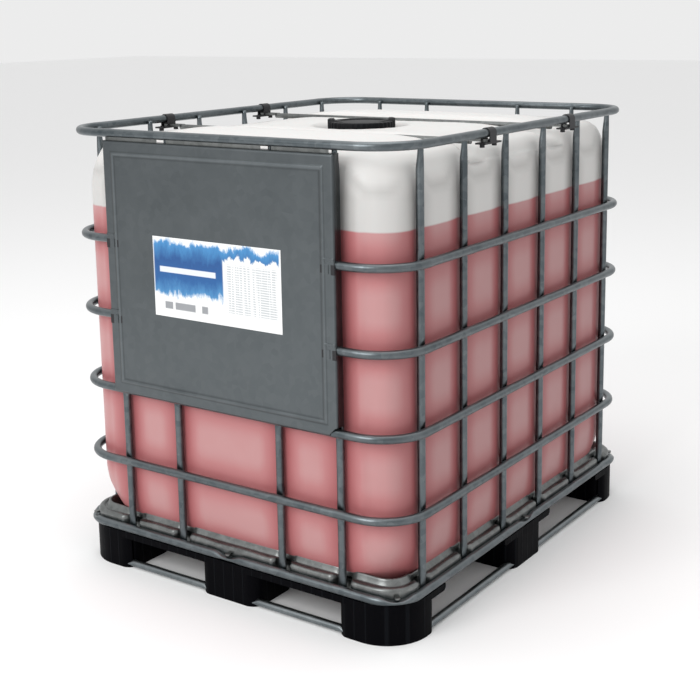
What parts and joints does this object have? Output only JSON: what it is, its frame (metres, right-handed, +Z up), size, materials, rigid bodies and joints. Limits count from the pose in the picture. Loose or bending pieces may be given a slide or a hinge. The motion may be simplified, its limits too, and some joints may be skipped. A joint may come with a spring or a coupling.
{
  "type": "intermediate bulk container",
  "caption": "Caged liquid container: translucent bottle in a steel tube cage on a plastic and steel pallet, with fill cap, label plate and outlet valve.",
  "frame": {"origin": "middle of the footprint on the floor, under the centre foot", "axes": "+Z up; the label plate's short side faces -Y and the outlet valve faces +Y; the long sides face -X and +X"},
  "size_m": [0.999, 1.197, 1.1125],
  "materials": {
    "cage_steel": "galvanised, dull, dark",
    "bright_steel": "galvanised, bright",
    "plate_steel": "galvanised sheet, satin",
    "bottle_plastic": "translucent blow-moulded, pink liquid showing through",
    "black_plastic": "moulded, matt",
    "dark_fittings": "moulded, satin",
    "red_plastic": "moulded, glossy",
    "seal_rubber": "soft, matt"
  },
  "bodies": {
    "frame": {"foot_plate_left": "black_plastic", "foot_plate_middle": "black_plastic", "foot_plate_right": "black_plastic", "foot_centre_left": "black_plastic", "foot_centre": "black_plastic", "foot_centre_right": "black_plastic", "foot_valve_left": "black_plastic", "foot_valve_middle": "black_plastic", "foot_valve_right": "black_plastic", "board_plate": "black_plastic", "board_centre": "black_plastic", "board_valve": "black_plastic", "runner_plate": "bright_steel", "runner_valve": "bright_steel", "runner_left": "bright_steel", "runner_right": "bright_steel", "deck_pan": "bright_steel", "deck_screws": "bright_steel", "base_ring": "cage_steel", "cage_ring_1": "cage_steel", "cage_ring_2": "cage_steel", "cage_ring_3": "cage_steel", "cage_ring_4": "cage_steel", "top_rail": "cage_steel", "post_plate_1": "cage_steel", "post_plate_2": "cage_steel", "post_plate_3": "cage_steel", "post_plate_4": "cage_steel", "post_valve_1": "cage_steel", "post_valve_2": "cage_steel", "post_valve_3": "cage_steel", "post_valve_4": "cage_steel", "post_left_1": "cage_steel", "post_left_2": "cage_steel", "post_left_3": "cage_steel", "post_left_4": "cage_steel", "post_left_5": "cage_steel", "post_left_6": "cage_steel", "post_right_1": "cage_steel", "post_right_2": "cage_steel", "post_right_3": "cage_steel", "post_right_4": "cage_steel", "post_right_5": "cage_steel", "post_right_6": "cage_steel", "cross_bar_plate": "bright_steel", "cross_bar_valve": "bright_steel", "bar_clamps": "dark_fittings", "clamp_bolts": "dark_fittings", "label_plate": "plate_steel", "bottle": "bottle_plastic", "outlet_nut": "dark_fittings", "outlet_gasket": "seal_rubber", "valve_body": "dark_fittings"},
    "cap_gasket": {"fill_cap_gasket": "seal_rubber"},
    "cap": {"fill_cap": "dark_fittings"},
    "valve_rotor": {"valve_disc": "dark_fittings", "valve_stem": "bright_steel", "valve_handle": "red_plastic"},
    "dust_seal": {"dust_cap_seal": "seal_rubber"},
    "outlet_cap": {"dust_cap": "red_plastic"}
  },
  "joints": [
    {"name": "cap_turn", "type": "hinge", "parent": "cap_gasket", "child": "cap", "pos_m": [0, 0, 1.08], "axis": [0, 0, 1], "range_deg": [0, 540]},
    {"name": "cap_lift", "type": "slide", "parent": "frame", "child": "cap_gasket", "axis": [0, 0, 1], "range_m": [0, 0.012]},
    {"name": "valve_turn", "type": "hinge", "parent": "frame", "child": "valve_rotor", "pos_m": [0, 0.5052, 0.186], "axis": [0, 0, 1], "range_deg": [0, 90]},
    {"name": "dust_cap_turn", "type": "hinge", "parent": "dust_seal", "child": "outlet_cap", "pos_m": [0, 0.56, 0.186], "axis": [0, 1, 0], "range_deg": [-1260, 0]},
    {"name": "dust_cap_slide", "type": "slide", "parent": "frame", "child": "dust_seal", "axis": [0, 1, 0], "range_m": [0, 0.021]}
  ],
  "couplings": [
    {"joint": "cap_lift", "follows": "cap_turn", "m_per_rad": 0.0012732},
    {"joint": "dust_cap_slide", "follows": "dust_cap_turn", "m_per_rad": -0.00095493}
  ]
}
